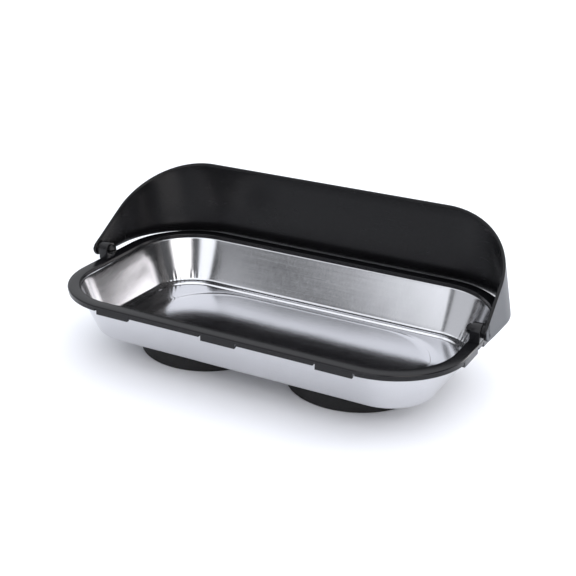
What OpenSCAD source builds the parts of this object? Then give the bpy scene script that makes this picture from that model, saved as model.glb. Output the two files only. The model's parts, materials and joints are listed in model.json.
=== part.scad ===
// Magnetic sorting tray: a pressed steel dish in a moulded rim, a swing-over guard
// hinged on two lugs, and two rubber-booted ring magnets underneath.
// Millimetres. The table is z = 0, +Y is the back, and X runs along the tray.

/* [Rim] */
// Length of the rim along X
rim_len = 240; // [180:1:320]
// Depth of the rim from front to back
rim_depth = 134; // [105:1:180]
// Outer corner radius of the rim in plan
rim_corner_r = 43; // [36:1:50]
// Height of the rim's top above the table
tray_h = 42; // [32:0.2:60]
// Width of the rim's flat top
flange_w = 6.9; // [6:0.1:10]
// Thickness of the rim's top plate
plate_t = 2.2; // [1.6:0.1:3]
// Thickness of the rim's outer skirt
skirt_t = 1.6; // [1.2:0.1:2]
// Depth of the skirt below the rim's top
skirt_drop = 3.4; // [3.2:0.1:4]
// Step from the plate's edge back to the skirt's face
skirt_inset = 0.4; // [0.2:0.1:0.8]

/* [Snap tabs] */
// Depth of a snap tab below the rim's top
tab_drop = 5.2; // [4.8:0.1:6]
// Width of a snap tab on the long sides
tab_w = 20.5; // [12:0.5:26]
// Distance from a corner's centre back to the middle of the nearest tab
tab_end_gap = 10; // [8:0.5:16]
// Shift of the long sides' tabs along X
tab_shift = -1.5; // [-4:0.5:4]
// Gap between a hinge lug and the snap tab beside it
lug_tab_gap = 0.3; // [0.2:0.1:3]
// How far a short side's tab runs past the corner's centre
end_tab_over = 3.5; // [0:0.5:4]
// Width of the slit at each end of a tab
slit_w = 1.2; // [0.8:0.1:2]
// Reach of a tab's hook under the steel
hook_reach = 1; // [0.6:0.1:1.4]

/* [Dish] */
// Thickness of the steel
steel_t = 0.8; // [0.5:0.1:1.2]
// Distance from the rim's edge in to the dish's mouth
mouth_inset = 6.4; // [5.2:0.1:7]
// Height of the dish's underside above the table
dish_lift = 12.8; // [9:0.2:16]
// Lean of the dish's wall from upright
wall_lean = 22.5; // [8:0.5:30]
// Outward bow of the dish's wall at half its height
wall_bow = 0.5; // [0:0.1:1]
// Inside radius where the wall turns into the floor
floor_r = 2.5; // [1.5:0.5:6]
// Width of the ledge around the floor
ledge_w = 1.5; // [1:0.1:3]
// Drop from the ledge to the floor
ledge_drop = 1.2; // [0.6:0.1:1.6]
// Distance from the floor's ends in to the pressed panel
panel_gap_x = 11; // [4:0.5:24]
// Distance from the floor's front and back in to the pressed panel
panel_gap_y = 4; // [2:0.5:12]
// Straight length left at each end of the pressed panel
panel_end = 6; // [2:1:40]
// Height of the pressed panel above the floor
panel_rise = 0.4; // [0.2:0.1:1]

/* [Guard] */
// Thickness of the guard's wall
guard_t = 2; // [1.5:0.1:3]
// Gap between the rim's ends and the guard's wings
wing_gap = 2.06; // [1.6:0.02:4]
// Gap between the rim's back edge and the guard it stops
stop_gap = 0.4; // [0.3:0.05:1]
// Corner radius of the guard in plan, outside, at its lower edge
guard_r = 48.5; // [44:0.5:54]
// Inward lean of the guard's wings
wing_lean = 4.9; // [2:0.1:7]
// Inward lean of the guard's back
back_lean = 18.8; // [10:0.2:22]
// Inward lean of the guard's corners
corner_taper = 5.7; // [3:0.1:8]
// Rise of the guard's upper edge from the hinge
edge_rise = 34.2; // [20:0.2:40]
// Fall of the guard's lower edge towards the back
lower_fall = 1.25; // [0:0.05:1.6]

/* [Hinge] */
// Distance of the hinge in front of the tray's centre
hinge_fwd = 4.4; // [0:0.1:8]
// Radius of the guard's round end at the hinge
tip_r = 4.9; // [4.4:0.1:6]
// Height of the guard's round end above the rim's top
tip_gap = 0.7; // [0.4:0.1:2]
// Thickness of a hinge lug along X
lug_t = 5.6; // [4:0.1:6]
// Radius of the lug's round top
lug_r = 4.2; // [3.8:0.1:5]
// Radius of the hinge stud
stud_r = 2.4; // [1.8:0.1:2.9]
// Radial play of the stud in the lug
stud_play = 0.08; // [0.04:0.01:0.1]
// How far the snap head stands out past the stud
snap_lip = 0.5; // [0.3:0.1:0.8]
// Length of the stud's snap head
snap_head_l = 2.8; // [2:0.1:4]
// Width of the cross slot in the snap head
snap_slot = 0.8; // [0.5:0.1:1.2]
// Side play of the lug between the snap head and the collar
side_play = 0.2; // [0.1:0.05:0.4]

/* [Magnet feet] */
// Distance between the two feet
foot_pitch = 96.6; // [86:0.2:120]
// Radius of a rubber boot
boot_r = 39.65; // [30:0.05:42]
// Thickness of the boot's wall
boot_wall = 2.4; // [1.6:0.1:4]
// Thickness of the boot's sole
boot_sole = 1.8; // [1.2:0.1:2.6]
// Radius of the opening in the sole
sole_hole_r = 13; // [8:0.5:15]
// Thickness of the steel pot
pot_t = 1.5; // [1:0.1:2]
// Inner radius of the ring magnet
magnet_hole_r = 16; // [14:0.5:20]
// Radius of the welded stud
weld_stud_r = 2.5; // [2:0.5:3]

/* [Hidden] */
$fn = 96;

// Overlap that joins touching shapes
eps = 0.01;
// Half sizes of the straight runs between the rim's corner centres
run_x = rim_len / 2 - rim_corner_r;
run_y = rim_depth / 2 - rim_corner_r;

// Steel and tab heights under the rim's plate
plate_z = tray_h - plate_t;
skirt_z = tray_h - skirt_drop;
tab_z = tray_h - tab_drop;
hook_gap = 0.1;
hook_slope = 0.3;
hook_t = 0.5;
steel_edge_gap = 0.5;
skirt_in = skirt_inset + skirt_t;

// The plate's edge: its upright part, the small slope under it, and its rounding
edge_h = 1.5;
edge_slope = 0.3;
edge_round = 0.8;
// Where the middle of a rounded edge lies, as a share of its radius
round_mid = 1 - cos(45);

// Dish wall and floor, as distances in from the rim's outer line
floor_z = dish_lift + steel_t;
ledge_z = floor_z + ledge_drop;
lean_run = tan(wall_lean);
wall_top_s = mouth_inset + steel_t / cos(wall_lean);
wall_h = plate_z - ledge_z;
wall_foot_s = wall_top_s + wall_h * lean_run;
foot_lean = atan(lean_run + 4 * wall_bow / wall_h);
foot_cut = floor_r * tan((90 - foot_lean) / 2);
wall_steps = 4;
ledge_end_s = wall_foot_s + foot_cut + ledge_w;
floor_edge_s = ledge_end_s + ledge_drop;
foot_steps = 6;
panel_len = rim_len - 2 * (floor_edge_s + panel_gap_x);
panel_depth = rim_depth - 2 * (floor_edge_s + panel_gap_y);
panel_r = (panel_depth - panel_end) / 2;

// Hinge axis
hinge_y = -hinge_fwd;
hinge_z = tray_h + tip_r + tip_gap;
lug_inset = 0.2;
lug_out = rim_len / 2 - lug_inset;
lug_in = lug_out - lug_t;
snap_head_r = stud_r + snap_lip;
head_taper = 0.9;
snap_tip_r = snap_head_r - head_taper;
collar_step = 0.6;
collar_r = lug_r - collar_step;

// Snap tabs: the long sides' pitch, and the short sides' width and distance to the hinge
tab_pitch = run_x - tab_end_gap;
end_tab_w = run_y + end_tab_over - hinge_fwd - lug_r - lug_tab_gap;
end_tab_y = lug_r + lug_tab_gap + end_tab_w / 2;

// Guard, measured at the height of its lower edge over the hinge
guard_z = hinge_z - tip_r;
wing_k = tan(wing_lean);
back_k = tan(back_lean);
corner_k = tan(corner_taper);
back_t = guard_t / cos(back_lean);
wing_x = rim_len / 2 + wing_gap + guard_t;
back_y = rim_depth / 2 + stop_gap + back_t + back_k * (tray_h - guard_z);
edge_k = tan(edge_rise);
fall_k = -tan(lower_fall);
tip_top_h = tip_r * (1 + cos(edge_rise));
tip_top_y = -tip_r * sin(edge_rise);
corner_steps = 14;
// How far the round ends stand proud of the wall's edges
tip_proud = 0.06;

// The product's footprint is centred on the origin: the guard overhangs the back
low_back_h = (tip_proud + fall_k * (back_y - hinge_y)) / (1 + fall_k * back_k);
footprint_back = back_y - back_k * low_back_h;
frame_dy = -(footprint_back - rim_depth / 2) / 2;

// Magnet foot, from the dish down
pot_z = dish_lift - pot_t;
pot_r = boot_r - boot_wall;
pot_gap = 0.1;
magnet_gap = 0.4;
magnet_r = pot_r - pot_t - magnet_gap;
washer_t = 1;
washer_r = 6;
nut_t = 4;
nut_af = 8;
stud_end = 1;
bore_gap = 0.2;
thread_gap = 0.02;
boot_lip = 1.2;
boot_round = 0.9;
boot_band = 4;
boot_taper = 0.5;
grip_w = 1.6;
grip_h = 0.6;
grip_pitch = 4.4;

steel_c = [0.78, 0.79, 0.82];
black_c = [0.13, 0.13, 0.14];
rubber_c = [0.07, 0.07, 0.07];
zinc_c = [0.70, 0.70, 0.66];
ferrite_c = [0.22, 0.22, 0.23];

// Puts the tray's own frame into the product's frame
module placed() {
    translate([0, frame_dy, 0]) children();
}

// Sweeps an outline of [distance in from the rim's edge, height] round the rim's plan
module rim_sweep(outline) {
    side = [for (p = outline) [rim_corner_r - p[0], p[1]]];
    for (sx = [0, 1], sy = [0, 1])
        mirror([sx, 0, 0]) mirror([0, sy, 0])
            translate([run_x, run_y, 0])
                rotate_extrude(angle = 90) polygon(side);
    for (sy = [0, 1])
        mirror([0, sy, 0])
            translate([-run_x, run_y, 0])
                rotate([90, 0, 90]) linear_extrude(2 * run_x) polygon(side);
    for (sx = [0, 1])
        mirror([sx, 0, 0])
            translate([run_x, run_y, 0])
                rotate([90, 0, 0]) linear_extrude(2 * run_y) polygon(side);
}

// A flat rounded rectangle
module slab(size_x, size_y, r, t) {
    linear_extrude(t) {
        square([size_x - 2 * r, size_y], center = true);
        square([size_x, size_y - 2 * r], center = true);
        for (sx = [-1, 1], sy = [-1, 1])
            translate([sx * (size_x / 2 - r), sy * (size_y / 2 - r)]) circle(r);
    }
}

// ---- Dish ----

// Points round the foot of the wall, at a distance d outside the inner face
function foot_arc(d) =
    let (cs = wall_foot_s + foot_cut, cz = ledge_z + floor_r)
    [for (i = [0:foot_steps]) let (a = 180 + foot_lean + (90 - foot_lean) * i / foot_steps)
        [cs + (floor_r + d) * cos(a), cz + (floor_r + d) * sin(a)]];

// Points down the bowed wall between its two ends, at a distance d outside the inner face
function wall_curve(d) =
    [for (i = [1:wall_steps - 1]) let (t = i / wall_steps)
        [wall_top_s - d / cos(wall_lean) + t * wall_h * lean_run
             - 4 * wall_bow * t * (1 - t), plate_z - t * wall_h]];

// Reverses a list of points
function reversed(v) = [for (i = [len(v) - 1:-1:0]) v[i]];

// The steel from its flange to the middle of the corner arcs
function dish_outline() = concat(
    [[skirt_in + steel_edge_gap, plate_z], [wall_top_s, plate_z]],
    wall_curve(0),
    foot_arc(0),
    [[ledge_end_s, ledge_z], [floor_edge_s, floor_z],
     [rim_corner_r, floor_z], [rim_corner_r, dish_lift],
     [floor_edge_s - steel_t / 2, dish_lift],
     [ledge_end_s - steel_t / 2, ledge_z - steel_t]],
    reversed(foot_arc(steel_t)),
    reversed(wall_curve(steel_t)),
    [[mouth_inset + steel_t * lean_run, plate_z - steel_t],
     [skirt_in + steel_edge_gap, plate_z - steel_t]]);

module steel_dish() {
    color(steel_c) placed() {
        rim_sweep(dish_outline());
        translate([-run_x, -run_y, dish_lift])
            cube([2 * run_x, 2 * run_y, steel_t]);
        translate([0, 0, floor_z - eps])
            slab(panel_len, panel_depth, panel_r, panel_rise + eps);
    }
}

// ---- Rim ----

function rim_outline() = [
    [skirt_inset, skirt_z], [skirt_inset, tray_h - edge_h - edge_slope], [0, tray_h - edge_h],
    [0, tray_h - edge_round], [edge_round * round_mid, tray_h - edge_round * round_mid],
    [edge_round, tray_h], [flange_w - edge_round / 2, tray_h],
    [flange_w, tray_h - edge_round / 2], [flange_w, plate_z],
    [skirt_in, plate_z], [skirt_in, skirt_z]];

// One snap tab with its hook, hanging from the back edge of a straight run
module snap_tab(w) {
    tab = [[0, tab_z], [0, plate_z + eps], [-skirt_t, plate_z + eps],
           [-skirt_t, plate_z - steel_t - hook_gap],
           [-skirt_t - hook_reach, plate_z - steel_t - hook_gap - hook_slope],
           [-skirt_t - hook_reach, plate_z - steel_t - hook_gap - hook_slope - hook_t],
           [-skirt_t, tab_z]];
    translate([-w / 2, -skirt_inset, 0])
        rotate([90, 0, 90]) linear_extrude(w) polygon(tab);
}

// The two slits that let a tab flex
module tab_slits(w) {
    for (s = [-1, 1])
        translate([s * (w + slit_w) / 2 - slit_w / 2, -skirt_in - eps, skirt_z - 1])
            cube([slit_w, skirt_in + 1, plate_z - skirt_z + 1]);
}

// Places its children at every tab: 0 makes the long sides' tabs, 1 the short sides'
module at_tabs(which) {
    if (which == 0)
        for (sy = [0, 1], i = [-1:1])
            mirror([0, sy, 0])
                translate([i * tab_pitch + tab_shift, rim_depth / 2, 0]) children();
    if (which == 1)
        for (sx = [0, 1], s = [-1, 1])
            mirror([sx, 0, 0])
                translate([rim_len / 2, hinge_y + s * end_tab_y, 0])
                    rotate([0, 0, -90]) children();
}

module lug() {
    difference() {
        union() {
            translate([lug_in, hinge_y - lug_r, tray_h - eps])
                cube([lug_t, 2 * lug_r, hinge_z - tray_h + eps]);
            translate([lug_in, hinge_y, hinge_z])
                rotate([0, 90, 0]) cylinder(r = lug_r, h = lug_t);
        }
        translate([lug_in - 1, hinge_y, hinge_z])
            rotate([0, 90, 0]) cylinder(r = stud_r + stud_play, h = lug_t + 2);
    }
}

module rim_frame() {
    color(black_c) placed() {
        difference() {
            rim_sweep(rim_outline());
            at_tabs(0) tab_slits(tab_w);
            at_tabs(1) tab_slits(end_tab_w);
        }
        at_tabs(0) snap_tab(tab_w);
        at_tabs(1) snap_tab(end_tab_w);
        lug();
        mirror([1, 0, 0]) lug();
    }
}

// ---- Guard ----

// A column of the guard's wall at height h: its place in plan, for an offset d inwards.
// Columns 0 to 1 run along the wing, 1 to 2 round the corner, 2 to 3 to the middle.
function column(u, h, d) =
    let (ax = wing_x - wing_k * h - d,
         by = back_y - back_k * h - d * back_t / guard_t,
         r = guard_r - corner_k * h - d,
         tip = hinge_y + tip_top_y * h / tip_top_h,
         a = 90 * (u - 1))
    u <= 1 ? [ax, tip + (by - r - tip) * u] :
    u <= 2 ? [ax - r + r * cos(a), by - r + r * sin(a)] :
             [(ax - r) * (3 - u), by];

// Height where a column meets a plane that passes c over the lower edge at the hinge
// and climbs k towards the back
function meet_h(u, d, c, k) =
    let (y0 = column(u, 0, d)[1], y1 = column(u, 1, d)[1] - y0)
    (c + k * (y0 - hinge_y)) / (1 - k * y1);

function wall_point(u, d, top) =
    let (h = top ? meet_h(u, d, tip_r + (tip_r - tip_proud) / cos(edge_rise), edge_k)
                 : meet_h(u, d, tip_proud, fall_k),
         p = column(u, h, d))
    [p[0], p[1], guard_z + h];

half_steps = concat([0, 0.5], [for (i = [0:corner_steps]) 1 + i / corner_steps]);
all_steps = concat([for (u = half_steps) [u, 1]],
                   [for (i = [len(half_steps) - 1:-1:0]) [half_steps[i], -1]]);

// Four points to a column: outside low, outside high, inside high, inside low
wall_points = [for (s = all_steps, c = [[0, false], [0, true], [guard_t, true], [guard_t, false]])
    let (p = wall_point(s[0], c[0], c[1])) [s[1] * p[0], p[1], p[2]]];

last_ring = len(all_steps) - 1;
wall_faces = concat(
    [[3, 2, 1, 0]],
    [for (i = [0:last_ring - 1], j = [0:3])
        let (a = 4 * i + j, b = 4 * i + (j + 1) % 4) [a, b, a + 4]],
    [for (i = [0:last_ring - 1], j = [0:3])
        let (a = 4 * i + j, b = 4 * i + (j + 1) % 4) [b, b + 4, a + 4]],
    [[4 * last_ring, 4 * last_ring + 1, 4 * last_ring + 2, 4 * last_ring + 3]]);

hub_in = wing_x - wing_k * tip_top_h - guard_t;
collar_in = lug_out + side_play / 2;
head_out = lug_in - side_play / 2;

// A cylinder along X between two places on the hinge axis
module axle(x0, x1, r0, r1) {
    translate([x0, hinge_y, hinge_z])
        rotate([0, 90, 0]) cylinder(h = x1 - x0, r1 = r0, r2 = r1);
}

// Round end, collar and split snap stud at one end of the guard
module guard_hub() {
    axle(hub_in, wing_x, tip_r, tip_r);
    axle(collar_in, hub_in + eps, collar_r, collar_r);
    difference() {
        union() {
            axle(head_out - snap_head_l / 2, collar_in + eps, stud_r, stud_r);
            axle(head_out - snap_head_l / 2, head_out, snap_head_r, snap_head_r);
            axle(head_out - snap_head_l, head_out - snap_head_l / 2, snap_tip_r, snap_head_r);
        }
        for (a = [0, 90])
            translate([head_out - snap_head_l - 1, hinge_y, hinge_z])
                rotate([a, 0, 0])
                    translate([0, -snap_slot / 2, -snap_head_r - 1])
                        cube([snap_head_l + lug_t / 2 + 1, snap_slot, 2 * snap_head_r + 2]);
    }
}

module guard() {
    color(black_c) placed() {
        polyhedron(wall_points, wall_faces);
        guard_hub();
        mirror([1, 0, 0]) guard_hub();
    }
}

// ---- Magnet feet ----

// Moves its children to one foot: -1 is the left foot, 1 the right
module at_foot(side) {
    translate([side * foot_pitch / 2, frame_dy, 0]) children();
}

module weld_stud(side) {
    color(zinc_c) at_foot(side)
        translate([0, 0, pot_z - washer_t - nut_t - stud_end])
            cylinder(r = weld_stud_r, h = dish_lift - pot_z + washer_t + nut_t + stud_end);
}

module magnet_pot(side) {
    color(zinc_c) at_foot(side) difference() {
        translate([0, 0, boot_sole + pot_gap])
            cylinder(r = pot_r, h = dish_lift - boot_sole - pot_gap);
        translate([0, 0, boot_sole])
            cylinder(r = pot_r - pot_t, h = pot_z - boot_sole);
        translate([0, 0, pot_z - 1])
            cylinder(r = weld_stud_r + bore_gap, h = pot_t + 2);
    }
}

module ring_magnet(side) {
    color(ferrite_c) at_foot(side) difference() {
        translate([0, 0, boot_sole + pot_gap])
            cylinder(r = magnet_r, h = pot_z - boot_sole - pot_gap);
        translate([0, 0, 0])
            cylinder(r = magnet_hole_r, h = pot_z + 1);
    }
}

module washer(side) {
    color(zinc_c) at_foot(side) difference() {
        translate([0, 0, pot_z - washer_t]) cylinder(r = washer_r, h = washer_t);
        translate([0, 0, pot_z - washer_t - 1])
            cylinder(r = weld_stud_r + bore_gap, h = washer_t + 2);
    }
}

module lock_nut(side) {
    color(zinc_c) at_foot(side) difference() {
        translate([0, 0, pot_z - washer_t - nut_t])
            cylinder(r = nut_af / 2 / cos(30), h = nut_t, $fn = 6);
        translate([0, 0, pot_z - washer_t - nut_t - 1])
            cylinder(r = weld_stud_r + thread_gap, h = nut_t + 2);
    }
}

module rubber_boot(side) {
    rings = floor((boot_r - sole_hole_r - 2 * grip_w) / grip_pitch);
    color(rubber_c) at_foot(side) difference() {
        rotate_extrude() polygon([
            [sole_hole_r, 0], [boot_r - boot_round, 0], [boot_r, boot_round],
            [boot_r, boot_band], [boot_r - boot_taper, dish_lift - boot_lip],
            [boot_r - boot_lip, dish_lift],
            [pot_r, dish_lift], [pot_r, boot_sole], [sole_hole_r, boot_sole]]);
        for (i = [1:rings])
            translate([0, 0, -1]) difference() {
                cylinder(r = sole_hole_r + i * grip_pitch, h = 1 + grip_h);
                translate([0, 0, -1])
                    cylinder(r = sole_hole_r + i * grip_pitch - grip_w, h = 3 + grip_h);
            }
    }
}

steel_dish();
rim_frame();
guard();
weld_stud(-1);  // left_weld_stud
magnet_pot(-1);  // left_magnet_pot
ring_magnet(-1);  // left_ring_magnet
washer(-1);  // left_washer
lock_nut(-1);  // left_lock_nut
rubber_boot(-1);  // left_rubber_boot
weld_stud(1);  // right_weld_stud
magnet_pot(1);  // right_magnet_pot
ring_magnet(1);  // right_ring_magnet
washer(1);  // right_washer
lock_nut(1);  // right_lock_nut
rubber_boot(1);  // right_rubber_boot
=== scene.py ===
# %% [markdown]
# # A magnetic sorting tray with a swing-over guard
# The tray is a pressed steel dish clipped into a black moulded rim. A guard turns on two
# lugs of the rim, and two ring magnets in rubber boots hold the tray to a bench. The CAD
# model already fixes every size and joint. This lesson builds finely rounded versions of
# the parts that show, gives each one a procedural finish, and lights them softly.

# %% Load the frame
import json
import math
import bmesh
import bpy
from mathutils import Matrix, Vector, noise


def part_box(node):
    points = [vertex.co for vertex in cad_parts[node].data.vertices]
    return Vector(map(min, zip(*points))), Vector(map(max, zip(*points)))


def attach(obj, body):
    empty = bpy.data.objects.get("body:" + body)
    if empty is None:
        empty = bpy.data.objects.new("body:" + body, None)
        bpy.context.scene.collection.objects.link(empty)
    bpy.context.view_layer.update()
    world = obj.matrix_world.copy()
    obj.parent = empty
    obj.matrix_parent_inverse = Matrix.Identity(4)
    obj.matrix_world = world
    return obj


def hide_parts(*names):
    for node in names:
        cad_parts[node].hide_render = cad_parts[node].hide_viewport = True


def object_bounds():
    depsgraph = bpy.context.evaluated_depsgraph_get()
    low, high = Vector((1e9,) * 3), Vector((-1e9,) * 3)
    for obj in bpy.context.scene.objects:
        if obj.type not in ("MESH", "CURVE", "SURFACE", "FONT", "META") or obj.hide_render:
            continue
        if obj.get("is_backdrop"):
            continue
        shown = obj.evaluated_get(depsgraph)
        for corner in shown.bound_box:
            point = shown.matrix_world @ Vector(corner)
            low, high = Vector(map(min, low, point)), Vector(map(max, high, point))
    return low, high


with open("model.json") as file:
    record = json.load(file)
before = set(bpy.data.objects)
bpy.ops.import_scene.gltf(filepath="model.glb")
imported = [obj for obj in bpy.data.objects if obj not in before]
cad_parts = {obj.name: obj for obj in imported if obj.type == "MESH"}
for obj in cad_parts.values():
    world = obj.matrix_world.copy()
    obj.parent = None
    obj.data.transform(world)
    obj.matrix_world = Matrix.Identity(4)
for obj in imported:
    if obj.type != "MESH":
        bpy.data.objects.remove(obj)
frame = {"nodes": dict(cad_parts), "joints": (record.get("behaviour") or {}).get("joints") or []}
cad_low, cad_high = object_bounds()

# %% [markdown]
# Blender works in metres and the tray's sizes are easier to read in millimetres, so every
# size goes through one small function. The rim's box and the hinge come from the frame, and
# the wall thicknesses and radii repeat the design's own values.


# %% Sizes
def mm(value):
    """Millimetres in, metres out"""
    return value / 1000


rim_low, rim_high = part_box("rim_frame")
hinge = Vector(frame["joints"][0]["pos_m"])
half_x = rim_high.x
half_y = (rim_high.y - rim_low.y) / 2
mid_y = (rim_high.y + rim_low.y) / 2
tip_r, tip_gap = mm(4.9), mm(0.7)
rim_top = hinge.z - tip_r - tip_gap
corner_r = mm(43)
run_x, run_y = half_x - corner_r, half_y - corner_r
flange_w = mm(6.9)
plate_t = mm(2.2)
plate_z = rim_top - plate_t
skirt_face, skirt_t = mm(0.4), mm(1.6)
skirt_in = skirt_face + skirt_t
steel_t = mm(0.8)
dish_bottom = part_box("steel_dish")[0].z
floor_z = dish_bottom + steel_t
print("rim", round(2 * half_x, 4), "by", round(2 * half_y, 4), "top at", round(rim_top, 4))

# %% [markdown]
# ## Helpers for building meshes
# Most of these parts are rings joined one to the next, like the hoops of a barrel. `loft`
# joins any list of rings that have the same number of points. `rounded_ring` makes one ring
# of a rectangle with round corners, which is the tray's plan.


# %% Mesh helpers
def eased(t):
    """A share from 0 to 1 that starts and ends gently"""
    return t * t * (3 - 2 * t)


def add_object(name, data):
    """A new object in the scene"""
    obj = bpy.data.objects.new(name, data)
    bpy.context.scene.collection.objects.link(obj)
    return obj


def rounded_ring(hx, hy, radius, z, corner_cuts, long_cuts, short_cuts):
    """Points of a rounded rectangle round the tray's middle, anticlockwise from above"""
    radius = max(min(radius, hx, hy), 1e-5)
    flat_x, flat_y = hx - radius, hy - radius
    points = []
    corners = [(1, 1, 0), (-1, 1, 90), (-1, -1, 180), (1, -1, 270)]
    for k, (sx, sy, start) in enumerate(corners):
        for i in range(corner_cuts + 1):
            a = math.radians(start + 90 * i / corner_cuts)
            points.append((sx * flat_x + radius * math.cos(a), sy * flat_y + radius * math.sin(a)))
        cuts = long_cuts if k % 2 == 0 else short_cuts
        nsx, nsy, nstart = corners[(k + 1) % 4]
        a = math.radians(nstart)
        first = points[-1]
        last = (nsx * flat_x + radius * math.cos(a), nsy * flat_y + radius * math.sin(a))
        for i in range(1, cuts + 1):
            t = i / (cuts + 1)
            points.append((first[0] + (last[0] - first[0]) * t, first[1] + (last[1] - first[1]) * t))
    return [(x, mid_y + y, z) for x, y in points]


def loft(name, rings, close_start=False, close_end=False, ring_loop=False):
    """A mesh object through a list of rings with equal numbers of points"""
    n = len(rings[0])
    verts = [p for ring in rings for p in ring]
    faces = []
    pairs = [(i, i + 1) for i in range(len(rings) - 1)]
    if ring_loop:
        pairs.append((len(rings) - 1, 0))
    for i, j in pairs:
        for k in range(n):
            m = (k + 1) % n
            faces.append((i * n + k, i * n + m, j * n + m, j * n + k))
    if close_start:
        faces.append(tuple(reversed(range(n))))
    if close_end:
        faces.append(tuple((len(rings) - 1) * n + k for k in range(n)))
    mesh = bpy.data.meshes.new(name)
    mesh.from_pydata(verts, [], faces)
    return add_object(name, mesh)


def clean(obj, merge=1e-7):
    """Merges double points, drops empty faces and turns every face outwards"""
    bm = bmesh.new()
    bm.from_mesh(obj.data)
    bmesh.ops.remove_doubles(bm, verts=bm.verts, dist=merge)
    bmesh.ops.dissolve_degenerate(bm, dist=merge, edges=bm.edges)
    bmesh.ops.recalc_face_normals(bm, faces=bm.faces)
    bm.to_mesh(obj.data)
    bm.free()
    return obj


def smooth(obj, sharp_over=None):
    """Smooth shading, with a hard line wherever two faces meet at more than an angle"""
    for poly in obj.data.polygons:
        poly.use_smooth = True
    if sharp_over is not None:
        bm = bmesh.new()
        bm.from_mesh(obj.data)
        limit = math.radians(sharp_over)
        for edge in bm.edges:
            edge.smooth = len(edge.link_faces) == 2 and edge.calc_face_angle(0) < limit
        bm.to_mesh(obj.data)
        bm.free()
    return obj


def join(name, parts):
    """One object out of several, which must not have modifiers"""
    bm = bmesh.new()
    for part in parts:
        bm.from_mesh(part.data)
    mesh = bpy.data.meshes.new(name)
    bm.to_mesh(mesh)
    bm.free()
    for part in parts:
        bpy.data.objects.remove(part)
    return add_object(name, mesh)


def mirrored(obj, name):
    """A copy on the other side of the tray"""
    mesh = obj.data.copy()
    mesh.transform(Matrix.Scale(-1, 4, (1, 0, 0)))
    mesh.flip_normals()
    return add_object(name, mesh)


# %% [markdown]
# ## A small language for finishes
# A shader is a graph of nodes, but its maths reads better as a sum. `Signal` wraps one output
# socket, so `0.3 + 0.1 * grain` adds the nodes by itself. `Graph` makes any node from a type,
# its settings and its inputs. `Finish` is a graph with one material and its shader.


# %% Shader helpers
class Signal:
    """A value that varies over a surface"""

    def __init__(self, graph, socket):
        self.graph = graph
        self.socket = socket

    def math(self, operation, a, b):
        return self.graph.math_of(operation, a, b)

    def __add__(self, other):
        return self.math("ADD", self, other)

    def __radd__(self, other):
        return self.math("ADD", other, self)

    def __sub__(self, other):
        return self.math("SUBTRACT", self, other)

    def __rsub__(self, other):
        return self.math("SUBTRACT", other, self)

    def __mul__(self, other):
        return self.math("MULTIPLY", self, other)

    def __rmul__(self, other):
        return self.math("MULTIPLY", other, self)


class Graph:
    """A shader's nodes, written as sums and calls"""

    def __init__(self, tree):
        self.tree = tree

    def node(self, kind, settings=None, inputs=None, output=0):
        made = self.tree.nodes.new(kind)
        for key, value in (settings or {}).items():
            if key == "stops":
                self.stops(made.color_ramp, value)
            else:
                setattr(made, key, value)
        for key, value in (inputs or {}).items():
            if isinstance(value, Signal):
                self.tree.links.new(value.socket, made.inputs[key])
            else:
                made.inputs[key].default_value = value
        return Signal(self, made.outputs[output])

    @staticmethod
    def stops(ramp, stops):
        while len(ramp.elements) < len(stops):
            ramp.elements.new(0.5)
        for element, (place, level) in zip(ramp.elements, stops):
            element.position = place
            element.color = (level, level, level, 1)

    def math_of(self, operation, *values):
        """Any one-line sum of the Math node"""
        return self.node("ShaderNodeMath", {"operation": operation}, dict(enumerate(values)))

    def ramp(self, signal, stops):
        return self.node("ShaderNodeValToRGB", {"stops": stops}, {0: signal})

    def blend(self, factor, low, high):
        """A colour between two colours"""
        values = {"Factor": factor, 6: (*low, 1), 7: (*high, 1)}
        return self.node("ShaderNodeMix", {"data_type": "RGBA"}, values, output=2)


class Finish(Graph):
    """A material with one Principled shader"""

    def __init__(self, name, **constants):
        self.material = bpy.data.materials.new(name)
        self.material.use_nodes = True
        super().__init__(self.material.node_tree)
        self.shader = self.tree.nodes["Principled BSDF"]
        for socket, value in constants.items():
            self.shader.inputs[socket.replace("_", " ")].default_value = value

    def link(self, socket, signal):
        self.tree.links.new(signal.socket, self.shader.inputs[socket])

    def noise(self, scale, detail, rough, stretch=(1, 1, 1), warp=0.0):
        """Noise in object coordinates, in metres, that can be stretched"""
        coords = self.node("ShaderNodeTexCoord", output="Object")
        where = self.node("ShaderNodeMapping", {}, {"Vector": coords, "Scale": stretch})
        values = {
            "Vector": where, "Scale": scale, "Detail": detail,
            "Roughness": rough, "Distortion": warp,
        }
        return self.node("ShaderNodeTexNoise", {}, values)

    def bump(self, height, strength, distance):
        values = {"Height": height, "Strength": strength, "Distance": distance}
        self.link("Normal", self.node("ShaderNodeBump", {}, values))


# %% [markdown]
# ## The steel finish
# Pressed stainless steel is bright and a little blurred. The sheet is rolled, so it has faint
# straight lines, and the press leaves it very slightly wavy. Three noises make that: long thin
# streaks for the rolling lines, a broad one for the waves, and a fine one for handling marks.
# On the upright walls the lines run round the dish, and on the floor they run along it.


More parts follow.
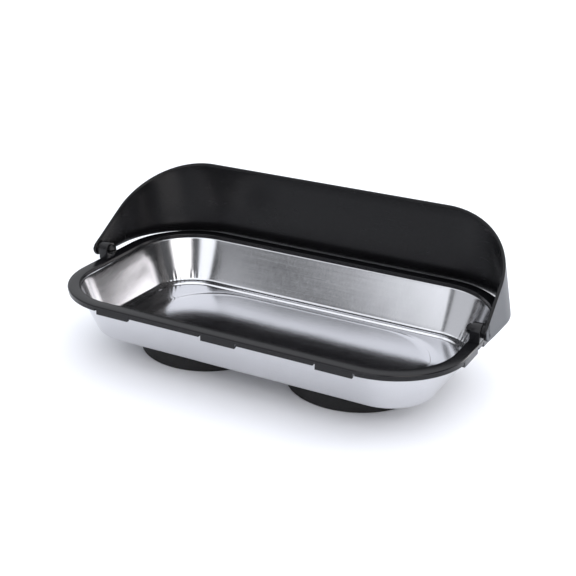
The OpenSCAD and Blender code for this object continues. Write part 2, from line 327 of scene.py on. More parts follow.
# %% Steel
def make_steel():
    f = Finish("pressed steel", Metallic=1.0)
    normal = f.node("ShaderNodeNewGeometry", output="Normal")
    upward = f.node("ShaderNodeSeparateXYZ", {}, {0: normal}, output=2)
    flat = f.ramp(upward * upward, [(0.35, 0.0), (0.8, 1.0)])
    wall_lines = f.noise(1.0, 4, 0.6, stretch=(14, 14, 1500))
    drawn_lines = f.noise(1.0, 3, 0.6, stretch=(900, 900, 20))
    floor_lines = f.noise(1.0, 4, 0.6, stretch=(14, 1500, 14))
    lines = flat * floor_lines + (1 - flat) * (wall_lines * 0.6 + drawn_lines * 0.4)
    broad = f.noise(26, 2, 0.5)
    marks = f.ramp(f.noise(240, 3, 0.7, warp=1.5), [(0.55, 0.0), (0.8, 1.0)])
    dull, bright = (0.55, 0.555, 0.575), (0.68, 0.685, 0.705)
    f.link("Base Color", f.blend(lines * 0.6 + broad * 0.4, dull, bright))
    walls = (1 - flat) * (0.02 + 0.04 * lines)
    f.link("Roughness", 0.05 + 0.10 * lines + 0.03 * broad + 0.05 * marks + walls)
    f.bump(lines * 0.4 + broad * 2.2, 0.09, mm(0.4))
    return f.material


# %% [markdown]
# ## The plastic and rubber finishes
# The rim and guard are black plastic. A spark-eroded mould leaves a fine grain that spreads
# each highlight. The outer face of the guard is rougher than its inner face, and its lighter,
# bluish colour is painted light: a painted sheen for the softbox and pale floor it catches.
# Scuffs make some patches duller. Rubber is softer still, with dust in its pores.


# %% Plastic, rubber and plating
def make_plastic(name, colour, worn, rough, grain, shine):
    f = Finish(name, Specular_IOR_Level=shine)
    pits = f.noise(2600, 2, 0.55)
    clouds = f.noise(38, 4, 0.6)
    f.link("Base Color", f.blend(clouds * 0.7 + pits * 0.3, colour, worn))
    scuffs = f.ramp(f.noise(90, 5, 0.75, stretch=(1, 1, 3), warp=2.0), [(0.6, 0.0), (0.75, 1.0)])
    f.link("Roughness", rough + 0.1 * clouds + 0.08 * scuffs)
    f.bump(pits + clouds * 0.5, grain, mm(0.12))
    return f.material


def make_rubber():
    f = Finish("boot rubber", Specular_IOR_Level=0.35)
    pores = f.noise(1800, 3, 0.6)
    dust = f.ramp(f.noise(60, 5, 0.7), [(0.45, 0.0), (0.85, 1.0)])
    f.link("Base Color", f.blend(dust * 0.8, (0.006, 0.006, 0.0065), (0.016, 0.016, 0.017)))
    f.link("Roughness", 0.62 + 0.2 * pores)
    f.bump(pores, 0.35, mm(0.15))
    return f.material


def make_plating(name, low, high, metal, rough):
    f = Finish(name, Metallic=metal)
    cloud = f.noise(220, 4, 0.65)
    f.link("Base Color", f.blend(cloud, low, high))
    f.link("Roughness", rough + 0.18 * cloud)
    f.bump(f.noise(1500, 3, 0.6), 0.2, mm(0.1))
    return f.material


steel = make_steel()
rim_plastic = make_plastic(
    "rim plastic", (0.003, 0.003, 0.0036), (0.008, 0.008, 0.0095), rough=0.15, grain=0.08, shine=0.3
)
guard_plastic = make_plastic(
    "guard plastic", (0.003, 0.003, 0.0034), (0.006, 0.006, 0.007), rough=0.20, grain=0.08, shine=0.22
)
# The outside's roughness is real, but its lighter, bluish colours are a painted sheen from the
# right-hand light.
guard_outside_painted_sheen = make_plastic(
    "guard outside painted sheen", (0.030, 0.034, 0.042), (0.045, 0.050, 0.060), rough=0.46, grain=0.22, shine=0.6
)
rubber = make_rubber()
zinc = make_plating("zinc plate", (0.52, 0.52, 0.47), (0.68, 0.67, 0.62), 1.0, 0.28)
ferrite = make_plating("sintered ferrite", (0.05, 0.05, 0.053), (0.09, 0.09, 0.095), 0.0, 0.55)
print("finishes:", len(bpy.data.materials))


def wear(obj, material):
    """Gives an object one material"""
    obj.data.materials.clear()
    obj.data.materials.append(material)
    return obj


# %% [markdown]
# ## The dish
# A press pulls the dish out of flat sheet, so its wall thickness is even and every bend is a
# radius. It could be carved out of a block with a boolean, but the bends would be lost. Here the
# inner face is lofted through rings that follow the press tool, from the flange down the wall to
# the floor, and a Solidify modifier gives the sheet its thickness on the outside. The wall bows
# out by half a millimetre between its bends, which spreads what it mirrors.


# %% Dish profile
wall_lean = math.radians(22.5)
wall_bow = mm(0.5)
mouth_inset = mm(6.4)
ledge_drop, ledge_w = mm(1.2), mm(1.5)
foot_r = mm(2.5)
bend_r = mm(1.2)
wall_top = mouth_inset + steel_t / math.cos(wall_lean)
ledge_z = floor_z + ledge_drop
wall_h = plate_z - ledge_z
wall_foot = wall_top + wall_h * math.tan(wall_lean)
top_lean = math.atan(math.tan(wall_lean) - 4 * wall_bow / wall_h)
foot_lean = math.atan(math.tan(wall_lean) + 4 * wall_bow / wall_h)
foot_s = wall_foot + foot_r * math.tan((math.pi / 2 - foot_lean) / 2)
ledge_s = foot_s + ledge_w


def arc(centre, radius, start, end, steps):
    """Points of [distance in, height] along an arc, in degrees"""
    made = []
    for i in range(steps + 1):
        a = math.radians(start + (end - start) * i / steps)
        made.append((centre[0] + radius * math.cos(a), centre[1] + radius * math.sin(a)))
    return made


def dish_profile():
    """The inner face's line of [distance in, height], from the flange to the floor"""
    bend_cut = bend_r * math.tan((math.pi / 2 - top_lean) / 2)
    points = [(skirt_in + mm(0.5), plate_z), (wall_top - bend_cut - mm(0.6), plate_z)]
    points += arc((wall_top - bend_cut, plate_z - bend_r), bend_r, 90, math.degrees(top_lean), 8)
    foot = arc((foot_s, ledge_z + foot_r), foot_r, 180 + math.degrees(foot_lean), 270, 7)
    first = (plate_z - points[-1][1]) / wall_h
    last = (plate_z - foot[0][1]) / wall_h
    for i in range(1, 14):
        t = first + (last - first) * i / 14
        bow = 4 * wall_bow * t * (1 - t)
        points.append((wall_top + t * wall_h * math.tan(wall_lean) - bow, plate_z - t * wall_h))
    points += foot
    step_from, step_w = ledge_s - mm(0.3), mm(1.8)
    for i in range(9):
        t = i / 9
        points.append((step_from + t * step_w, ledge_z - ledge_drop * eased(t)))
    points.append((ledge_s + mm(1.6), floor_z))
    return points


# %% Dish rings
floor_edge = ledge_s + ledge_drop
panel_gap_x, panel_gap_y, panel_end = mm(11), mm(4), mm(6)
panel_x = half_x - floor_edge - panel_gap_x
panel_y = half_y - floor_edge - panel_gap_y
panel_r = panel_y - panel_end / 2
panel_rise, panel_step = mm(0.4), mm(0.4)


def dish_ring(hx, hy, radius, z):
    return rounded_ring(hx, hy, radius, z, corner_cuts=84, long_cuts=26, short_cuts=8)


def dish_rings():
    """The profile's rings, then the floor, the pressed panel's edge and the panel"""
    rings = [dish_ring(half_x - s, half_y - s, corner_r - s, z) for s, z in dish_profile()]
    s = dish_profile()[-1][0]
    edge = (half_x - s, half_y - s, corner_r - s)
    for t in (0.35, 0.7):
        mixed = [a + (b - a) * t for a, b in zip(edge, (panel_x, panel_y, panel_r))]
        rings.append(dish_ring(*mixed, floor_z))
    for i in range(8):
        t = i / 7
        z = floor_z + panel_rise * eased(t)
        inset = panel_step * (t - 0.5)
        rings.append(dish_ring(panel_x - inset, panel_y - inset, panel_r - inset, z))
    for scale in (0.93, 0.84, 0.72, 0.58, 0.44, 0.3, 0.17, 0.06):
        size = (panel_x * scale, panel_y * scale, panel_r * scale)
        rings.append(dish_ring(*size, floor_z + panel_rise))
    return rings


def press_marks(mesh):
    """Puckers at the foot of each corner, and a very slight wave below the top bend"""
    wave_size, pucker_size = mm(0.05), mm(0.12)
    pucker_z, pucker_spread, pucker_rate = mm(2.2), mm(2.6), 62
    wave_top = mm(20)
    normals = [vert.normal.copy() for vert in mesh.vertices]
    for vert, normal in zip(mesh.vertices, normals):
        x, y = abs(vert.co.x) - run_x, abs(vert.co.y - mid_y) - run_y
        above = vert.co.z - ledge_z
        wave = wave_size * noise.noise(vert.co * 24)
        if x > 0 and y > 0 and above > 0:
            turn = math.atan2(y, x)
            near_foot = math.exp(-((above - pucker_z) / pucker_spread) ** 2)
            inside = math.sin(2 * turn) ** 2
            uneven = 0.6 + 0.4 * noise.noise(Vector((turn * 9, vert.co.x * 40, 0)))
            wave += pucker_size * near_foot * inside * uneven * math.sin(turn * pucker_rate)
        if above < wave_top:
            vert.co += normal * wave


dish = loft("dish_pressing", dish_rings(), close_end=True)
dish.data.flip_normals()
if dish.data.polygons[-1].normal.z < 0:
    dish.data.flip_normals()
press_marks(dish.data)
smooth(dish)
sheet = dish.modifiers.new("sheet thickness", "SOLIDIFY")
sheet.thickness = steel_t
sheet.offset = -1
sheet.use_even_offset = True
wear(dish, steel)
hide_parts("steel_dish")
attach(dish, "tray")
print("dish faces:", len(dish.data.polygons))

# %% [markdown]
# ## The rim
# The rim is one moulding whose section stays the same all the way round, apart from its skirt.
# The skirt hangs lower at each snap tab, and stops at the slits that let a tab flex. So the rim
# is swept station by station, and each station says how low its skirt hangs. Two stations at one
# place with different skirts make the square end of a tab.


# %% Rim stations
skirt_drop, tab_drop = mm(3.4), mm(5.2)
skirt_z, tab_z = rim_top - skirt_drop, rim_top - tab_drop
hook_gap, hook_slope, hook_t, hook_reach = mm(0.1), mm(0.3), mm(0.5), mm(1)
hook_z = plate_z - steel_t - hook_gap
tab_w, slit_w = mm(20.5), mm(1.2)
tab_end_gap, tab_shift = mm(10), mm(-1.5)
lug_r, lug_tab_gap, end_tab_over = mm(4.2), mm(0.3), mm(3.5)
hinge_at = hinge.y - mid_y
quarter = corner_r * math.pi / 2
side_lengths = [2 * run_y, 2 * run_x, 2 * run_y, 2 * run_x]
whole = sum(side_lengths) + 4 * quarter


def rim_path(distance):
    """A place on the rim's outer line and the way out from it, anticlockwise from the right"""
    left = (distance + run_y) % whole
    for k, length in enumerate(side_lengths):
        turn = k * math.pi / 2
        if left <= length:
            out = (math.cos(turn), math.sin(turn))
            reach = half_x if k % 2 == 0 else half_y
            along = left - length / 2
            return (out[0] * reach - out[1] * along, out[1] * reach + out[0] * along), out
        left -= length
        if left <= quarter:
            a = turn + left / corner_r
            out = (math.cos(a), math.sin(a))
            cx = run_x if k in (0, 3) else -run_x
            cy = run_y if k in (0, 1) else -run_y
            return (cx + corner_r * out[0], cy + corner_r * out[1]), out
        left -= quarter
    return rim_path(distance - 1e-9)


def tab_places():
    """Each tab's middle, as a distance round the rim, and its width"""
    end_w = run_y + end_tab_over + hinge_at - lug_r - lug_tab_gap
    beside = lug_r + lug_tab_gap + end_w / 2
    pitch = run_x - tab_end_gap
    back = run_y + quarter
    left = back + 2 * run_x + quarter
    front = left + 2 * run_y + quarter
    places = [(hinge_at + side * beside, end_w) for side in (-1, 1)]
    places += [(left + run_y - hinge_at - side * beside, end_w) for side in (-1, 1)]
    places += [(back + run_x - i * pitch - tab_shift, tab_w) for i in (-1, 0, 1)]
    places += [(front + run_x + i * pitch + tab_shift, tab_w) for i in (-1, 0, 1)]
    return places


def rim_section(low):
    """The rim's closed section of [distance in, height] with its skirt down to a height"""
    roof_r, lip_r = mm(0.9), mm(0.5)
    edge_h, edge_slope = mm(1.5), mm(0.3)
    roof = arc((roof_r, rim_top - roof_r), roof_r, 180, 90, 6)
    lip = arc((flange_w - lip_r, rim_top - lip_r), lip_r, 90, 0, 4)
    face = [
        (skirt_face, low), (skirt_face, rim_top - edge_h - edge_slope),
        (mm(0.05), rim_top - edge_h),
    ]
    reach = hook_reach if low == tab_z else 0
    hook = [
        (skirt_in, max(low, hook_z)), (skirt_in + reach, max(low, hook_z - hook_slope)),
        (skirt_in + reach, max(low, hook_z - hook_slope - hook_t)), (skirt_in, low),
    ]
    return face + roof + lip + [(flange_w, plate_z), (skirt_in, plate_z)] + hook


def rim_stations():
    """Distances round the rim with the skirt's height, two at each place where it changes"""
    changes = []
    for centre, width in tab_places():
        a, b = centre - width / 2, centre + width / 2
        changes += [(a - slit_w, plate_z), (a, tab_z), (b, plate_z), (b + slit_w, skirt_z)]
    changes = sorted((d % whole, low) for d, low in changes)
    stations = []
    low = changes[-1][1]
    cuts = 260
    marks = sorted([(whole * i / cuts, None) for i in range(cuts)] + changes, key=lambda m: m[0])
    for distance, after in marks:
        stations.append((distance, low))
        if after is not None:
            low = after
            stations.append((distance, low))
    return stations


rim_rings = []
for distance, low in rim_stations():
    at, out = rim_path(distance)
    ring = [(at[0] - out[0] * s, mid_y + at[1] - out[1] * s, z) for s, z in rim_section(low)]
    rim_rings.append(ring)
rim_body = clean(loft("rim_body", rim_rings, ring_loop=True))
print("rim stations:", len(rim_rings))

# %% [markdown]
# Each lug is a plate standing on the flange, with a round top and a bore for the guard's stud.
# Its outline is found by looking outwards from the bore's centre, so one ring for the outline and
# one for the bore join into a washer-like face.


# %% Lugs
lug_inset, lug_t, lug_edge = mm(0.2), mm(5.6), mm(0.3)
lug_out = half_x - lug_inset
lug_in = lug_out - lug_t
stud_r, stud_play = mm(2.4), mm(0.08)
bore_r = stud_r + stud_play


def lug_outline(steps=72):
    """The lug seen from the side, about the bore's centre: a round top on a square foot"""
    points = []
    foot = hinge.z - rim_top + mm(0.1)
    for i in range(steps):
        a = 2 * math.pi * i / steps + math.pi / steps
        c, s = math.cos(a), math.sin(a)
        reach = lug_r
        if s < 0:
            reach = min(lug_r / max(abs(c), 1e-6), foot / abs(s))
        points.append((reach * c, reach * s))
    return points


def make_lug():
    """Washer-like rings from the bore round the outside and back, with rounded edges"""
    outline = lug_outline()
    rings = []
    for i in range(4):
        a = math.pi / 2 * i / 3
        inset, deep = lug_edge * (1 - math.sin(a)), lug_edge * (1 - math.cos(a))
        rings.append((lug_in + deep, inset))
    outer = rings + [(lug_out - (x - lug_in), inset) for x, inset in reversed(rings)]
    made = []
    for x, inset in outer:
        ring = []
        for y, z in outline:
            k = 1 - inset / math.hypot(y, z)
            ring.append((x, hinge.y + k * y, hinge.z + k * z))
        made.append(ring)
    bore = [
        (lug_out, lug_edge), (lug_out - lug_edge, 0), (lug_in + lug_edge, 0), (lug_in, lug_edge),
    ]
    for x, extra in bore:
        ring = []
        for y, z in outline:
            k = (bore_r + extra) / math.hypot(y, z)
            ring.append((x, hinge.y + k * y, hinge.z + k * z))
        made.append(ring)
    return clean(loft("lug", made, ring_loop=True))


lug = make_lug()
rim = join("rim_moulding", [rim_body, mirrored(lug, "lug_left"), lug])
smooth(rim, 38)
wear(rim, rim_plastic)
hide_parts("rim_frame")
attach(rim, "tray")
print("rim faces:", len(rim.data.polygons))

# %% [markdown]
# ## The guard
# The guard's wall leans inwards by a different amount at its wings, corners and back, so it is
# neither a cylinder nor a box. Every column of the wall is still a straight line, because the
# mould has to slide off it. A column is found from where it stands in plan and how high it is,
# and its ends are where it meets two sloping planes: the lower edge and the upper edge.


# %% Guard columns
guard_t, guard_r = mm(2), mm(48.5)
wing_gap, stop_gap = mm(2.06), mm(0.4)
edge_rise, lower_fall = math.radians(34.2), math.radians(1.25)
wing_lean, back_lean, corner_taper = math.radians(4.9), math.radians(18.8), math.radians(5.7)
edge_k, fall_k = math.tan(edge_rise), -math.tan(lower_fall)
wing_k, back_k, corner_k = math.tan(wing_lean), math.tan(back_lean), math.tan(corner_taper)
back_t = guard_t / math.cos(back_lean)
guard_z = hinge.z - tip_r
tip_proud = mm(0.06)
top_c = tip_r + (tip_r - tip_proud) / math.cos(edge_rise)
wing_x = half_x + wing_gap + guard_t
back_y = half_y + stop_gap + back_t + back_k * (rim_top - guard_z)
tip_top_h = tip_r * (1 + math.cos(edge_rise))
tip_top_y = -tip_r * math.sin(edge_rise)


def column(u, h, d):
    """Place in plan of column u at height h, a distance d inside the outer face"""
    ax = wing_x - wing_k * h - d
    by = back_y - back_k * h - d * back_t / guard_t
    r = guard_r - corner_k * h - d
    if u < 0:
        return ax, hinge_at + u
    if u <= 1:
        tip = hinge_at + tip_top_y * h / tip_top_h
        return ax, tip + (by - r - tip) * u
    if u <= 2:
        a = math.pi / 2 * (u - 1)
        return ax - r + r * math.cos(a), by - r + r * math.sin(a)
    return (ax - r) * (3 - u), by


def ends(u, d):
    """The lowest and highest height of a column"""
    if u < 0:
        half = math.sqrt(max(tip_r ** 2 - u ** 2, 0))
        line = top_c + edge_k * u
        return max(tip_r - half, tip_proud), (line if u > tip_top_y else min(tip_r + half, line))
    y0 = column(u, 0, d)[1]
    y1 = column(u, 1, d)[1] - y0
    found = []
    for c, k in ((tip_proud, fall_k), (top_c, edge_k)):
        found.append((c + k * (y0 - hinge_at)) / (1 - k * y1))
    return found


# %% Guard wall
def guard_section(u, side, heights=9, edge_steps=8):
    """The closed section of one column: up the outside, over the edge, down the inside"""
    points = []

    def add(d, t, round_off):
        low, high = ends(u, d)
        tall = high - low
        over = min(guard_t * 0.42, tall * 0.45)
        low_edge = min(over, mm(0.3))
        under = over + (low_edge - over) * min(max(u * 3, 0), 1)
        rise = 1 - math.sqrt(max(1 - round_off ** 2, 0))
        h = low + under * rise + (tall - (under + over) * rise) * t
        x, y = column(u, h, d)
        points.append((side * x, mid_y + y, guard_z + h))

    for i in range(heights):
        add(0, i / (heights - 1), 1)
    for i in range(1, edge_steps):
        a = math.pi * i / edge_steps
        add(guard_t / 2 * (1 - math.cos(a)), 1, -math.cos(a))
    for i in range(heights):
        add(guard_t, 1 - i / (heights - 1), 1)
    for i in range(1, edge_steps):
        a = math.pi * i / edge_steps
        add(guard_t / 2 * (1 + math.cos(a)), 0, math.cos(a))
    return points


def guard_steps():
    """Where the columns stand, from the right wing's tip round the back to the left wing's"""
    tip = [-tip_r * math.cos(math.pi / 2 * i / 14) for i in range(14)]
    wing = [i / 12 for i in range(12)]
    corner = [1 + i / 40 for i in range(41)]
    half = tip + wing + corner
    back = [2 + i / 16 for i in range(1, 16)]
    return [(u, 1) for u in half + back] + [(u, -1) for u in reversed(half + back + [3])]


rings = [guard_section(u, side) for u, side in guard_steps()]
guard_wall = clean(loft("guard_wall", rings, close_start=True, close_end=True), 1e-6)
print("guard columns:", len(rings))

# %% [markdown]
# At each end the guard carries a collar that keeps it off the lug, and a stud that snaps through
# the bore. The stud's end is split in four so that it can squeeze, and each prong has a barb.
# Turned shapes are lofted from circles, and a prong is a quarter of a circle that stays clear of
# the slot.


# %% Guard hubs
side_play = mm(0.2)
hub_in = wing_x - wing_k * tip_top_h - guard_t
collar_in = lug_out + side_play / 2
head_out = lug_in - side_play / 2
snap_lip, snap_head_l, snap_slot, head_taper = mm(0.5), mm(2.8), mm(0.8), mm(0.9)
collar_r = lug_r - mm(0.6)


def turned(name, outline, steps=56):
    """A solid of [place along X, radius] turned about the hinge axis"""
    made = []
    for x, r in outline:
        ring = []
        for i in range(steps):
            a = 2 * math.pi * i / steps
            ring.append((x, hinge.y + r * math.cos(a), hinge.z + r * math.sin(a)))
        made.append(ring)
    return clean(loft(name, made, close_start=True, close_end=True))


def prong(number):
    """A quarter of the split stud, from inside the lug to its tapered tip"""
    gap = snap_slot / 2
    barb = stud_r + snap_lip
    tip = barb - head_taper
    edge = mm(0.15)
    head_end = head_out - snap_head_l
    shape = [
        (lug_in + mm(2.6), stud_r), (head_out + mm(0.05), stud_r), (head_out, barb - edge),
        (head_out - edge, barb), (head_out - snap_head_l / 2, barb),
        (head_end + 2 * edge, tip + edge), (head_end, tip - edge),
    ]
    made = []
    for x, r in shape:
        first = math.asin(gap / r)
        ring = [(gap, gap)]
        for i in range(13):
            a = first + (math.pi / 2 - 2 * first) * i / 12
            ring.append((r * math.cos(a), r * math.sin(a)))
        turn = number * math.pi / 2
        c, s = math.cos(turn), math.sin(turn)
        made.append([(x, hinge.y + c * p - s * q, hinge.z + s * p + c * q) for p, q in ring])
    return clean(loft("prong", made, close_start=True, close_end=True))


def hub_parts():
    flare_r, edge = collar_r + mm(0.3), mm(0.2)
    hub = [
        (collar_in, stud_r / 2), (collar_in, collar_r - edge), (collar_in + edge, collar_r),
        (hub_in + mm(0.1), collar_r), (hub_in + mm(0.4), flare_r), (hub_in + mm(1), flare_r),
    ]
    neck = [(lug_in + mm(2.5), stud_r), (collar_in + mm(0.1), stud_r)]
    return [turned("hub", hub), turned("neck", neck)] + [prong(q) for q in range(4)]


# %% [markdown]
# The pins that push a moulding out of its mould leave low round marks. Three of them stand on
# the left wing's inner face. Each is a shallow dish with a raised edge, lofted from circles that
# lean with the wing.


# %% Ejector pips
def ejector_pips():
    """A mark for each place along Y, height and radius"""
    profile = ((-0.2, 1), (0.25, 1), (0.38, 0.85), (0.38, 0.62), (0.12, 0.5), (0.12, 0.1))
    made = []
    for y, z, r in ((20.1, 59.2, 1.5), (19.6, 52.6, 0.9), (23.7, 50.5, 1.1)):
        inner_x = -(wing_x - wing_k * (mm(z) - guard_z) - guard_t)
        rings = []
        for away, share in profile:
            ring = []
            for i in range(24):
                a = 2 * math.pi * i / 24
                up = mm(r * share) * math.sin(a)
                out = mm(away) + up * wing_k
                ring.append((inner_x + out, mm(y) + mm(r * share) * math.cos(a), mm(z) + up))
            rings.append(ring)
        made.append(clean(loft("pip", rings, close_start=True, close_end=True), 1e-8))
    return made


# %% [markdown]
# The guard is one moulding, so its pieces are joined into one mesh. Its outward faces take the
# rougher finish, whose lighter, bluish colour is a painted sheen. They are the nearly upright
# faces that look away from the tray's middle.

# %% Guard
right_hub = smooth(join("right_hub", hub_parts()), 32)
left_hub = smooth(mirrored(right_hub, "left_hub"), 32)
smooth(guard_wall)
pips = [smooth(pip, 32) for pip in ejector_pips()]
guard = join("guard_moulding", [guard_wall, left_hub, right_hub] + pips)
wear(guard, guard_plastic)
# The outward faces take the second finish, with its painted sheen.
guard.data.materials.append(guard_outside_painted_sheen)
for poly in guard.data.polygons:
    outwards = poly.normal.x * poly.center.x + poly.normal.y * (poly.center.y - mid_y)
    if outwards > mm(30) and abs(poly.normal.z) < 0.5:
        poly.material_index = 1
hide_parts("guard")
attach(guard, "guard")
print("guard faces:", len(guard.data.polygons))

# %% [markdown]
# ## The magnet feet
# A boot is a shape of revolution, so it is one outline swept round a circle. Geometry Nodes do
# that with Curve to Mesh: the outline is a curve object, and the tree supplies the circle, its
# radius and the material as named inputs. Both feet use the same tree.


# %% A tree that turns an outline round a circle
turning_radius = mm(20)


def turning_tree():
    tree = bpy.data.node_groups.new("turn an outline", "GeometryNodeTree")
    face = tree.interface
    face.new_socket("Outline", in_out="INPUT", socket_type="NodeSocketGeometry")
    kinds = {"Centre X": "Float", "Centre Y": "Float", "Segments": "Int", "Finish": "Material"}
    for name, kind in kinds.items():
        face.new_socket(name, in_out="INPUT", socket_type="NodeSocket" + kind)
    face.new_socket("Turned", in_out="OUTPUT", socket_type="NodeSocketGeometry")
    add = tree.nodes.new
    link = tree.links.new
    given, result = add("NodeGroupInput"), add("NodeGroupOutput")
    circle = add("GeometryNodeCurvePrimitiveCircle")
    circle.inputs["Radius"].default_value = turning_radius
    level = add("GeometryNodeSetCurveNormal")
    level.mode = "Z_UP"
    sweep = add("GeometryNodeCurveToMesh")
    centre = add("ShaderNodeCombineXYZ")
    shift = add("GeometryNodeTransform")
    real = add("GeometryNodeRealizeInstances")
    finish = add("GeometryNodeSetMaterial")
    link(given.outputs["Segments"], circle.inputs["Resolution"])
    link(circle.outputs["Curve"], level.inputs["Curve"])
    link(level.outputs["Curve"], sweep.inputs["Curve"])
    link(given.outputs["Outline"], sweep.inputs["Profile Curve"])
    link(given.outputs["Centre X"], centre.inputs["X"])
    link(given.outputs["Centre Y"], centre.inputs["Y"])
    link(centre.outputs[0], shift.inputs["Translation"])
    link(sweep.outputs[0], shift.inputs["Geometry"])
    link(shift.outputs[0], real.inputs[0])
    link(real.outputs[0], finish.inputs["Geometry"])
    link(given.outputs["Finish"], finish.inputs["Material"])
    link(finish.outputs[0], result.inputs[0])
    return tree


turning = turning_tree()


def socket_id(tree, name):
    """The identifier of a tree's named input"""
    for item in tree.interface.items_tree:
        if item.name == name and item.in_out == "INPUT":
            return item.identifier


def turn_outline(name, outline, centre_x, centre_y, material, segments=120):
    """A plain mesh of an outline of [radius, height] turned about an upright axis"""
    curve = bpy.data.curves.new(name + "_outline", "CURVE")
    curve.dimensions = "3D"
    spline = curve.splines.new("POLY")
    spline.points.add(len(outline) - 1)
    for point, (r, z) in zip(spline.points, outline):
        point.co = (r - turning_radius, -z, 0, 1)
    spline.use_cyclic_u = True
    holder = add_object(name + "_holder", curve)
    modifier = holder.modifiers.new("turning", "NODES")
    modifier.node_group = turning
    given = {"Centre X": centre_x, "Centre Y": centre_y, "Segments": segments, "Finish": material}
    for key, value in given.items():
        modifier[socket_id(turning, key)] = value
    graph = bpy.context.evaluated_depsgraph_get()
    mesh = bpy.data.meshes.new_from_object(holder.evaluated_get(graph))
    obj = add_object(name, mesh)
    bpy.data.objects.remove(holder)
    return obj


# %% Boots
def boot_outline(boot_r, hole_r, inner_r, sole, top):
    """The boot's closed section, with gripping grooves under its sole"""
    pitch, groove, depth = mm(4.4), mm(1.6), mm(0.6)
    hole_edge, edge = mm(0.4), mm(0.15)
    points = [(hole_r, sole), (hole_r, hole_edge), (hole_r + hole_edge, 0.0)]
    rings = int((boot_r - hole_r - 2 * groove) / pitch)
    for i in range(1, rings + 1):
        end = hole_r + i * pitch
        start = end - groove
        points += [(start - edge, 0.0), (start, edge), (start + mm(0.1), depth)]
        points += [(end - mm(0.1), depth), (end, edge), (end + edge, 0.0)]
    points += arc((boot_r - mm(1.2), mm(1.2)), mm(1.2), -90, 0, 7)
    points += [(boot_r, mm(4)), (boot_r - mm(0.3), top - mm(2))]
    points += arc((boot_r - mm(1.3), top - mm(1)), mm(1), 0, 90, 5)
    points += [(inner_r, top), (inner_r, sole)]
    return points


boot_wall, boot_sole, sole_hole_r = mm(2.4), mm(1.8), mm(13)
inner_parts = (("weld_stud", zinc), ("magnet_pot", zinc), ("ring_magnet", ferrite),
               ("washer", zinc), ("lock_nut", zinc))
for side in ("left", "right"):
    node = side + "_rubber_boot"
    low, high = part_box(node)
    middle = (low + high) / 2
    boot_r = (high.x - low.x) / 2
    outline = boot_outline(boot_r, sole_hole_r, boot_r - boot_wall, boot_sole, high.z)
    boot = clean(turn_outline(side + "_boot", outline, middle.x, middle.y, rubber))
    smooth(boot, 50)
    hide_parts(node)
    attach(boot, "tray")
    for part, finish in inner_parts:
        wear(frame["nodes"][side + "_" + part], finish)

# %% [markdown]
# ## The studio
# A product like this is shot on a white table under large soft lights. The steel mirrors the
# room, so the room matters more than the lamps. The table is a plain pale floor, and one lamp
# stands behind the tray on the right. The other lights are painted on the room itself.


# %% Floor
def make_floor():
    f = Finish("studio floor", Roughness=0.6)
    f.link("Base Color", f.blend(f.noise(3, 2, 0.5), (0.90, 0.915, 0.95), (0.92, 0.935, 0.965)))
    size = 6.0
    ring = [(-size, -size, 0), (size, -size, 0), (size, size, 0), (-size, size, 0)]
    mesh = bpy.data.meshes.new("studio_floor")
    mesh.from_pydata(ring, [], [(0, 1, 2, 3)])
    floor = add_object("studio_floor", mesh)
    wear(floor, f.material)
    floor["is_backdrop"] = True


make_floor()


# %% The lamp
def softbox(name, bearing, height, spread, tall, brightness, distance=1.1):
    """A softbox aimed at the tray. Its bearing (anticlockwise from +X), its height above the
    table and the spans it fills are in degrees."""
    a, e = math.radians(bearing), math.radians(height)
    flat = distance * math.cos(e)
    place = Vector((flat * math.cos(a), flat * math.sin(a), distance * math.sin(e)))
    lamp = bpy.data.lights.new(name, "AREA")
    lamp.shape = "RECTANGLE"
    lamp.size = 2 * distance * math.tan(math.radians(spread / 2))
    lamp.size_y = 2 * distance * math.tan(math.radians(tall / 2))
    lamp.energy = brightness * math.pi * lamp.size * lamp.size_y
    obj = add_object(name, lamp)
    obj.location = place
    obj.rotation_euler = (Vector((0, 0, mm(30))) - place).to_track_quat("-Z", "Y").to_euler()


softbox("back_right_box", bearing=54, height=12, spread=36, tall=26, brightness=6.0)


# %% [markdown]
# Bright steel looks flat when all it can mirror is white. So studios put small dark cards,
# called flags, near the lights to give it something dark. This one is an oval that faces the
# tray from the front right, and it darkens part of the dish's left end.


# %% A dark card
def make_flag():
    """A small dark oval card that the steel mirrors"""
    half_wide, half_tall = mm(66), mm(42)
    f = Finish("flag cloth", Roughness=0.9)
    f.link("Base Color", f.blend(f.noise(200, 3, 0.6), (0.01, 0.01, 0.012), (0.02, 0.02, 0.022)))
    centre = Vector((0.6, -0.42, 0.62))
    turn = centre.to_track_quat("Z", "Y").to_matrix()
    ring = []
    for i in range(48):
        a = 2 * math.pi * i / 48
        ring.append(centre + turn @ Vector((half_wide * math.cos(a), half_tall * math.sin(a), 0)))
    mesh = bpy.data.meshes.new("flag")
    mesh.from_pydata(ring, [], [tuple(range(48))])
    flag = add_object("flag", mesh)
    wear(flag, f.material)
    flag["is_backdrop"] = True


make_flag()


# %% [markdown]
# The room is a world shader that depends only on the direction looked in. It is pale all round,
# bright overhead and dim to the front right. Two soft boxes are painted into it with soft edges,
# the first slightly warm, and one small dark patch hangs overhead.


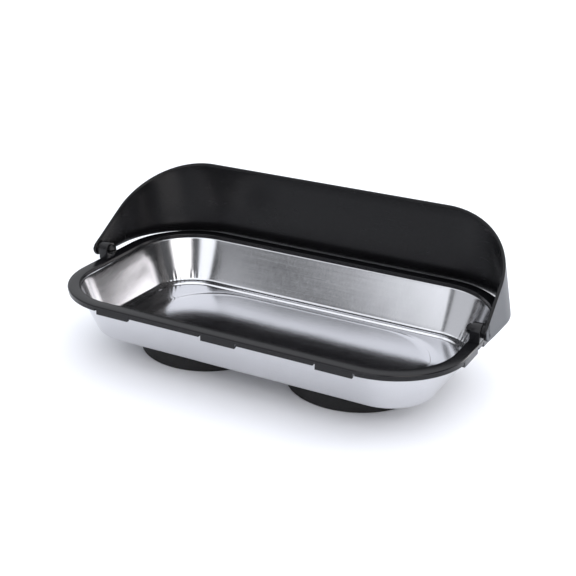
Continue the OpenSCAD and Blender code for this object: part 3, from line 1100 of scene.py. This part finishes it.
# %% The room
def make_room():
    """The room's brightness and tint in every direction"""
    world = bpy.data.worlds.new("studio")
    world.use_nodes = True
    room = Graph(world.node_tree)
    way = room.node("ShaderNodeTexCoord", output="Generated")
    x, y, z = [room.node("ShaderNodeSeparateXYZ", {}, {0: way}, output=i) for i in range(3)]
    level = room.math_of("SQRT", room.math_of("MAXIMUM", 1 - z * z, 0.0001))

    def toward(bearing):
        """How squarely a direction faces a bearing, whatever its height"""
        a = math.radians(bearing)
        return room.math_of("DIVIDE", x * math.cos(a) + y * math.sin(a), level)

    def painted_box(bearing, half, soft, top):
        """A soft box from the floor up to a height, half as wide each way as its angle"""
        edges = [math.cos(math.radians(half + soft)), math.cos(math.radians(half - soft))]
        across = room.ramp(toward(bearing), [(edges[0], 0.0), (edges[1], 1.0)])
        upright = room.ramp(z, [(0.0, 0.0), (0.06, 1.0), (top, 1.0), (top + 0.12, 0.0)])
        return across * upright

    front = room.ramp(toward(-50), [(0.30, 0.0), (0.36, 1.0)])
    ceiling = room.ramp(z, [(0.55, 0.0), (0.85, 1.0)])
    light = 0.80 - 0.68 * front * (1 - ceiling) + 1.05 * ceiling
    near = x * -0.416 + y * -0.206 + z * 0.886
    light = light - 0.85 * light * room.ramp(near, [(0.993, 0.0), (0.998, 1.0)])
    right_box = painted_box(-40, half=20, soft=4, top=0.72)
    front_box = painted_box(-95.5, half=16, soft=3.5, top=0.62)
    light = light + 2.6 * right_box + 1.6 * front_box
    tint = room.blend(right_box, (0.945, 0.96, 1.0), (1.0, 0.955, 0.935))
    background = room.tree.nodes["Background"]
    room.tree.links.new(tint.socket, background.inputs["Color"])
    room.tree.links.new(light.socket, background.inputs["Strength"])
    bpy.context.scene.world = world


make_room()
bpy.context.scene.view_settings.view_transform = "Standard"

# %% [markdown]
# ## The camera
# The camera stands to the front right, about two thirds of a metre away, and looks down.
# A long lens keeps the sides nearly parallel. Its place is worked out from the point it looks
# at, two angles and a distance, and a small roll levels the picture.

# %% Camera
aim = Vector((mm(-1.4), mm(8.84), mm(40.8)))
azimuth, elevation, roll = math.radians(28.193), math.radians(22.783), math.radians(0.739)
distance = mm(664.07)

forward = Vector((
    -math.sin(azimuth) * math.cos(elevation),
    math.cos(azimuth) * math.cos(elevation),
    -math.sin(elevation),
))
level_right = forward.cross(Vector((0, 0, 1))).normalized()
level_up = level_right.cross(forward)
right = level_right * math.cos(roll) + level_up * math.sin(roll)
up = level_up * math.cos(roll) - level_right * math.sin(roll)
lens = bpy.data.cameras.new("camera")
lens.lens = 72.92
lens.sensor_width = 36
camera = add_object("camera", lens)
camera.matrix_world = Matrix((
    (right.x, up.x, -forward.x, aim.x - forward.x * distance),
    (right.y, up.y, -forward.y, aim.y - forward.y * distance),
    (right.z, up.z, -forward.z, aim.z - forward.z * distance),
    (0, 0, 0, 1),
))
bpy.context.scene.camera = camera
print("camera at", [round(v, 4) for v in camera.matrix_world.translation])

# %% Print how far the boxes grew
new_low, new_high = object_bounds()
pairs = zip((*new_low, *new_high), (*cad_low, *cad_high))
print("grown by mm:", [round((a - b) * 1000, 3) for a, b in pairs])
